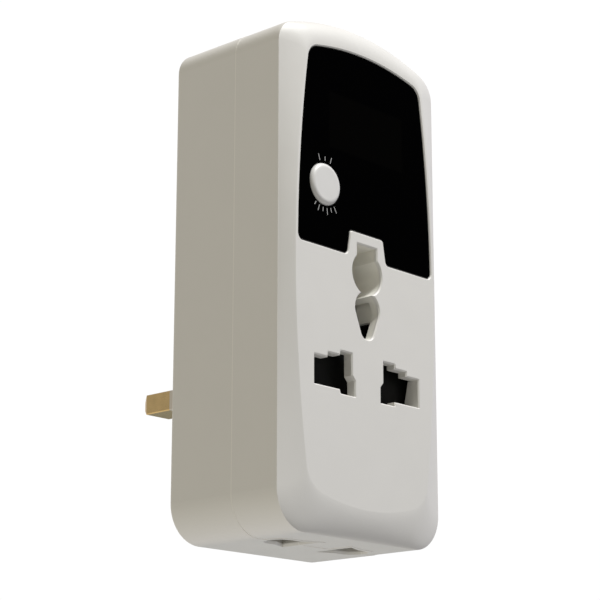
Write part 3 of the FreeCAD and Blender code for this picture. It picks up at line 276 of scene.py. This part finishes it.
class Shader:
    """A material's node tree, with short calls for the nodes that the finishes here are made of."""

    def __init__(self, name):
        self.material = bpy.data.materials.new(name)
        self.material.use_nodes = True
        self.tree = self.material.node_tree
        self.surface = self.tree.nodes["Principled BSDF"]
        self.place = self.add("ShaderNodeTexCoord").outputs["Object"]

    def add(self, kind, **settings):
        node = self.tree.nodes.new(kind)
        for key, value in settings.items():
            setattr(node, key, value)
        return node

    def feed(self, socket, value):
        """Link an output to a socket, or set the socket to a number or a colour."""
        if hasattr(value, "links"):
            self.tree.links.new(value, socket)
        else:
            socket.default_value = (*value, 1) if isinstance(value, tuple) else value

    def stretched(self, scale):
        """Place in the object, scaled apart along each axis."""
        node = self.add("ShaderNodeVectorMath", operation="MULTIPLY")
        self.feed(node.inputs[0], self.place)
        node.inputs[1].default_value = scale
        return node.outputs[0]

    def noise(self, size, detail=2.0, stretch=None, roughness=0.5):
        """Smooth noise from 0 to 1 whose features are about a size across."""
        node = self.add("ShaderNodeTexNoise")
        self.feed(node.inputs["Vector"], self.stretched(stretch) if stretch else self.place)
        node.inputs["Scale"].default_value = 1 / size
        node.inputs["Detail"].default_value = detail
        node.inputs["Roughness"].default_value = roughness
        return node.outputs["Fac"]

    def ramp(self, factor, first, second, low=NOISE_LOW, high=NOISE_HIGH):
        """Grey levels or colours that go from first to second as a factor goes from low to high."""
        node = self.add("ShaderNodeValToRGB")
        self.feed(node.inputs["Fac"], factor)
        for element, position, value in zip(node.color_ramp.elements, (low, high), (first, second)):
            element.position = position
            element.color = (*value, 1) if isinstance(value, tuple) else (value, value, value, 1)
        return node.outputs["Color"]

    def math(self, operation, first, second=0.0, clamp=False):
        node = self.add("ShaderNodeMath", operation=operation, use_clamp=clamp)
        self.feed(node.inputs[0], first)
        self.feed(node.inputs[1], second)
        return node.outputs[0]

    def product(self, first, *others):
        for other in others:
            first = self.math("MULTIPLY", first, other)
        return first

    def inverse(self, share):
        return self.math("SUBTRACT", 1.0, share)

    def axis(self, name):
        node = self.add("ShaderNodeSeparateXYZ")
        self.feed(node.inputs[0], self.place)
        return node.outputs[name]

    def above(self, value, edge, soft=0.02 * MM):
        """0 below an edge and 1 above it, with a soft step between."""
        shifted = self.math("SUBTRACT", value, edge - soft)
        return self.math("DIVIDE", shifted, 2 * soft, clamp=True)

    def within(self, value, low, high, soft=0.02 * MM):
        """1 between two edges and 0 outside them."""
        return self.product(self.above(value, low, soft), self.inverse(self.above(value, high, soft)))

    def mix(self, factor, first, second, kind="RGBA"):
        """Colour between two colours, or number between two numbers if the kind is FLOAT."""
        node = self.add("ShaderNodeMix", data_type=kind)
        for name, value in (("Factor", factor), ("A", first), ("B", second)):
            self.feed(node.inputs[name], value)
        return node.outputs["Result"]

    def blend(self, factor, first, second):
        return self.mix(factor, first, second, "FLOAT")

    def relief(self, height, depth, strength=1.0):
        node = self.add("ShaderNodeBump")
        self.feed(node.inputs["Height"], height)
        node.inputs["Distance"].default_value = depth
        node.inputs["Strength"].default_value = strength
        self.feed(self.surface.inputs["Normal"], node.outputs["Normal"])

    def set(self, **values):
        """Feed the surface's inputs, which are named with underscores for their spaces."""
        for key, value in values.items():
            self.feed(self.surface.inputs[key.replace("_", " ")], value)


def shade(colour, factor):
    return tuple(min(1.0, channel * factor) for channel in colour)


def tones(shader, colour, spread, patch):
    """Colour that drifts by a small share either way from patch to patch."""
    return shader.ramp(shader.noise(patch, 3), shade(colour, 1 - spread), shade(colour, 1 + spread))


def plastic(name, colour, spread=0.02, patch=8 * MM, roughness=(0.35, 0.45), grain=0.2 * MM,
            relief=0.004 * MM, specular=0.5):
    """Moulded plastic: a fine spark-eroded grain, with tone and gloss that drift a little."""
    shader = Shader(name)
    fine = shader.noise(grain, 4, roughness=0.6)
    shader.set(Base_Color=tones(shader, colour, spread, patch),
               Roughness=shader.ramp(shader.noise(patch / 2, 3), *roughness),
               Specular_IOR_Level=specular)
    shader.relief(fine, relief)
    return shader.material


def metal(name, colour, lines, line_width=0.05 * MM, spread=0.06, roughness=(0.22, 0.38), relief=0.001 * MM):
    """Metal with fine lines drawn along one axis and a faint uneven tarnish."""
    shader = Shader(name)
    along = 0.02
    drawn = shader.noise(line_width, 2, stretch=tuple(along if axis == lines else 1.0 for axis in "XYZ"))
    shader.set(Base_Color=tones(shader, colour, spread, 2 * MM), Metallic=1.0,
               Roughness=shader.blend(drawn, *roughness))
    shader.relief(drawn, relief)
    return shader.material


def casing_finish():
    """Spark-eroded white plastic, with a painted highlight along the seam, painted light in the earth tube
    and painted shade in the notches.
    """
    shader = Shader("white_abs")
    front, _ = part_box("front_shell")
    rear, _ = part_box("rear_shell")
    seam = rear.y + SHELL_LIP
    x, y, z = (shader.axis(name) for name in "XYZ")
    # painted highlight: a lighter band painted along the seam
    seam_highlight = shader.within(y, seam - SEAM_LINE / 2, seam + SEAM_LINE / 2, SEAM_EDGE)
    # painted shade: the notch walls get a darker tone
    notch_shade = shader.product(shader.within(x, -NOTCH_REACH, NOTCH_REACH),
                           shader.within(y, seam - NOTCH_HALF, seam + NOTCH_HALF),
                           shader.within(z, rear.z + NOTCH_LIP, rear.z + NOTCH_TOP, TONE_EDGE))
    # painted light: the tube and teardrop walls get a lighter tone
    tube = shader.product(shader.within(x, -TUBE_HALF, TUBE_HALF),
                          shader.within(z, TUBE_LOW, TUBE_HIGH),
                          shader.within(y, front.y + TUBE_START, seam, TONE_EDGE))
    tone = tones(shader, WHITE_TONE, 0.006, 12 * MM)
    # mixes in the painted seam highlight, the painted light in the tube and the painted shade in the notches
    for region, colour in ((seam_highlight, SEAM_HIGHLIGHT_TONE), (tube, TUBE_LIGHT_TONE), (notch_shade, NOTCH_SHADE_TONE)):
        tone = shader.mix(region, tone, colour)
    shader.set(Base_Color=tone, Roughness=shader.ramp(shader.noise(6 * MM, 3), 0.36, 0.44))
    shader.relief(shader.noise(0.16 * MM, 4, roughness=0.6), 0.02 * MM)
    return shader.material


def lens_finish():
    """Smoked panel: near-black and polished, a shade clearer over the display behind it."""
    shader = Shader("smoked_lens")
    low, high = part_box("led_display")
    margin = 1.5 * MM
    soft = 0.3 * MM
    window = shader.product(shader.within(shader.axis("X"), low.x + margin, high.x - margin, soft),
                            shader.within(shader.axis("Z"), low.z + margin, high.z - margin, soft))
    haze = shader.noise(1.2 * MM, 5, roughness=0.7)
    shader.set(Base_Color=shader.mix(window, LENS_TONE, WINDOW_TONE),
               Roughness=shader.ramp(haze, 0.04, 0.09, low=0.35, high=0.8),
               Specular_IOR_Level=0.5, IOR=1.49)
    shader.relief(shader.noise(20 * MM, 1), 0.02 * MM, strength=0.3)
    return shader.material


def board_finish():
    """Circuit board: green mask over slightly raised copper tracks, with tinned pads."""
    shader = Shader("green_board")
    turned = shader.add("ShaderNodeMapping")
    turned.inputs["Rotation"].default_value = (math.pi / 2, 0, 0)
    shader.feed(turned.inputs["Vector"], shader.place)
    tracks = shader.add("ShaderNodeTexBrick", offset=0.37, squash=0.6, squash_frequency=3)
    shader.feed(tracks.inputs["Vector"], turned.outputs[0])
    for socket, value in (("Scale", 1.0), ("Mortar Size", 0.16 * MM), ("Mortar Smooth", 0.1),
                          ("Brick Width", 4.6 * MM), ("Row Height", 1.5 * MM)):
        tracks.inputs[socket].default_value = value
    copper = tracks.outputs["Fac"]
    pads = shader.add("ShaderNodeTexVoronoi", feature="F1")
    shader.feed(pads.inputs["Vector"], shader.place)
    pads.inputs["Scale"].default_value = 1 / (3.2 * MM)
    pad_radius = 0.13         # as a share of the pads' spacing
    pad = shader.math("LESS_THAN", pads.outputs["Distance"], pad_radius)
    lit = shader.mix(copper, tones(shader, MASK_TONE, 0.12, 6 * MM), TRACK_TONE)
    shader.set(Base_Color=shader.mix(pad, lit, PAD_TONE), Metallic=pad,
               Roughness=shader.blend(pad, 0.32, 0.4))
    shader.relief(shader.math("ADD", copper, pad), 0.03 * MM)
    return shader.material


def header_finish():
    """Black moulding on the front board with square gilt pins standing out of it."""
    shader = Shader("pin_header")
    low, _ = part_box("board_header")
    moulding = 2.5 * MM
    pins = shader.above(shader.axis("Y"), low.y + moulding)
    rough = shader.noise(0.2 * MM, 3)
    shader.set(Base_Color=shader.mix(pins, tones(shader, HEADER_TONE, 0.2, 2 * MM), GILT_TONE),
               Metallic=pins, Roughness=shader.ramp(rough, 0.28, 0.45))
    shader.relief(rough, 0.004 * MM)
    return shader.material


def fuse_finish():
    """Clear tube between plated caps."""
    shader = Shader("fuse_tube")
    low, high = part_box("fuse")
    cap = 5.0 * MM
    glass = shader.within(shader.axis("X"), low.x + cap, high.x - cap)
    drawn = shader.noise(0.08 * MM, 2, stretch=(1.0, 0.1, 0.1))
    shader.set(Base_Color=shader.mix(glass, tones(shader, CAP_TONE, 0.08, 2 * MM), GLASS_TONE),
               Metallic=shader.inverse(glass),
               Transmission_Weight=shader.product(glass, 0.85),
               Roughness=shader.blend(glass, shader.blend(drawn, 0.2, 0.34), 0.05))
    shader.relief(drawn, 0.002 * MM)
    return shader.material


def can_finish():
    """Capacitor can: dark sleeve with a pale stripe, and bare metal inside its front rim."""
    shader = Shader("capacitor_can")
    low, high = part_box("electrolytic_capacitor")
    middle = (low + high) / 2
    rim_width = 0.7 * MM
    rim_depth = 0.5 * MM
    stripe_start = 2.6 * MM
    across = shader.math("SUBTRACT", shader.axis("X"), middle.x)
    rise = shader.math("SUBTRACT", shader.axis("Z"), middle.z)
    squares = shader.math("ADD", shader.product(across, across), shader.product(rise, rise))
    outside = shader.above(shader.math("SQRT", squares), (high.x - low.x) / 2 - rim_width)
    bare = shader.product(shader.inverse(outside),
                          shader.inverse(shader.above(shader.axis("Y"), low.y + rim_depth)))
    stripe = shader.above(across, stripe_start)
    sleeve = shader.mix(stripe, tones(shader, CAN_SLEEVE_TONE, 0.15, 3 * MM), STRIPE_TONE)
    drawn = shader.noise(0.1 * MM, 2)
    shader.set(Base_Color=shader.mix(bare, sleeve, CAN_TONE), Metallic=bare,
               Roughness=shader.blend(drawn, 0.26, 0.38))
    shader.relief(drawn, 0.002 * MM)
    return shader.material


def varistor_finish():
    """Dipped blue disc on tinned leads."""
    shader = Shader("varistor_dip")
    low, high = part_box("varistor")
    disc_depth = high.x - low.x
    meniscus = 0.05 * MM
    lead = shader.above(shader.axis("Y"), low.y + disc_depth + meniscus)
    shader.set(Base_Color=shader.mix(lead, tones(shader, DIP_TONE, 0.15, 2 * MM), TIN_TONE),
               Metallic=lead, Roughness=shader.blend(lead, 0.2, 0.35))
    shader.relief(shader.noise(1.5 * MM, 3), 0.08 * MM)
    return shader.material


def resistor_finish():
    """Lacquered bodies with colour bands, on tinned leads."""
    shader = Shader("resistor_lacquer")
    low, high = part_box("resistors")
    length = 6.3 * MM
    half_band = 0.3 * MM
    start = (low.x + high.x - length) / 2
    x = shader.axis("X")
    body = shader.within(x, start, start + length)
    colour = tones(shader, LACQUER_TONE, 0.08, 1 * MM)
    for share, band in BANDS:
        centre = start + share * length
        colour = shader.mix(shader.within(x, centre - half_band, centre + half_band), colour, band)
    shader.set(Base_Color=shader.mix(body, TIN_TONE, colour), Metallic=shader.inverse(body),
               Roughness=shader.blend(body, 0.3, 0.42))
    shader.relief(shader.noise(0.6 * MM, 3), 0.02 * MM)
    return shader.material


def make_finishes():
    """One material for each of the record's slots."""
    return {
        "casing": casing_finish(),
        "lens": lens_finish(),
        "button": plastic("button_abs", BUTTON_TONE, spread=0.008, patch=3 * MM, roughness=(0.3, 0.38),
                          grain=0.1 * MM, relief=0.003 * MM),
        "black_plastic": plastic("black_moulding", BLACK_TONE, spread=0.15, roughness=(0.42, 0.56),
                                 grain=0.25 * MM, relief=0.02 * MM, specular=0.25),
        "sleeve": plastic("pin_sleeve", PIN_SLEEVE_TONE, spread=0.02, patch=2 * MM, roughness=(0.4, 0.5),
                          grain=0.1 * MM, relief=0.004 * MM),
        "brass": metal("brass", BRASS_TONE, "Y"),
        "screw_steel": metal("zinc_plate", ZINC_TONE, "Y", line_width=0.04 * MM),
        "spring_steel": metal("spring_wire", SPRING_TONE, "Z", line_width=0.03 * MM),
        "circuit_board": board_finish(),
        "header": header_finish(),
        "relay_case": plastic("relay_case", RELAY_TONE, spread=0.05, roughness=(0.2, 0.3),
                              grain=0.3 * MM, relief=0.004 * MM),
        "fuse_glass": fuse_finish(),
        "film_capacitor": plastic("film_capacitor", FILM_TONE, spread=0.04, patch=4 * MM,
                                  roughness=(0.3, 0.42), grain=0.3 * MM, relief=0.01 * MM),
        "can": can_finish(),
        "varistor": varistor_finish(),
        "resistor": resistor_finish(),
        "display_body": plastic("display_epoxy", EPOXY_TONE, spread=0.1, roughness=(0.4, 0.5)),
        "display_segments": plastic("segment_diffuser", SEGMENT_TONE, spread=0.02, patch=1 * MM,
                                    roughness=(0.45, 0.6)),
        "tape": plastic("foam_tape", TAPE_TONE, spread=0.3, patch=0.5 * MM, roughness=(0.7, 0.9),
                        grain=0.1 * MM, relief=0.03 * MM),
    }


def dress(finishes):
    """Give every CAD node the finish of its slot."""
    for part in frame["record"]["subparts"]:
        slots = nodes[part["node"]].data.materials
        for index in range(len(slots)):
            slots[index] = finishes[part["material_slot"]]


# === printed marks ======================================================================================

def add_mark(work, centre, angle, radius, length):
    """Thin slab on the plane of its centre that runs outwards from a radius."""
    out = Vector((math.cos(angle), 0, math.sin(angle)))
    side = Vector((-math.sin(angle), 0, math.cos(angle))) * MARK_WIDTH / 2
    start = centre + out * radius
    end = start + out * length
    lift = Vector((0, -MARK_THICKNESS, 0))
    base = [work.verts.new(point) for point in (start - side, end - side, end + side, start + side)]
    face = [work.verts.new(vert.co + lift) for vert in base]
    work.faces.new(face)
    work.faces.new(base[::-1])
    for index in range(4):
        following = (index + 1) % 4
        work.faces.new((base[index], base[following], face[following], face[index]))


def make_marks(material):
    """Short radial strokes printed on the lens, fewer above the button than below it."""
    low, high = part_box("set_button")
    lens_low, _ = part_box("display_lens")
    centre = (low + high) / 2
    centre.y = lens_low.y
    radius = (high.x - low.x) / 2 - BUTTON_RING + MARK_GAP
    work = bmesh.new()
    for upright, count, pitch in MARK_ROWS:
        for index in range(count):
            angle = math.radians(upright + pitch * (index - (count - 1) / 2))
            add_mark(work, centre, angle, radius, MARK_LENGTHS[(index + count) % 2])
    bmesh.ops.recalc_face_normals(work, faces=work.faces)
    mesh = bpy.data.meshes.new("button_marks")
    work.to_mesh(mesh)
    work.free()
    marks = bpy.data.objects.new("button_marks", mesh)
    mesh.materials.append(material)
    bpy.context.scene.collection.objects.link(marks)
    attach(marks, "case")


# === all of it ==========================================================================================

casing_low, casing_high = casing_box()
middle = (casing_low + casing_high) / 2
make_camera(middle)
bpy.context.scene.view_settings.view_transform = "Standard"
make_world()
make_key(middle)
for card in CARDS:
    make_card(middle, *card)

dress(make_finishes())
make_marks(plastic("mark_ink", INK_TONE, spread=0.05, patch=0.5 * MM, roughness=(0.5, 0.6)))
make_floor(casing_low.z - FLOOR_DROP)
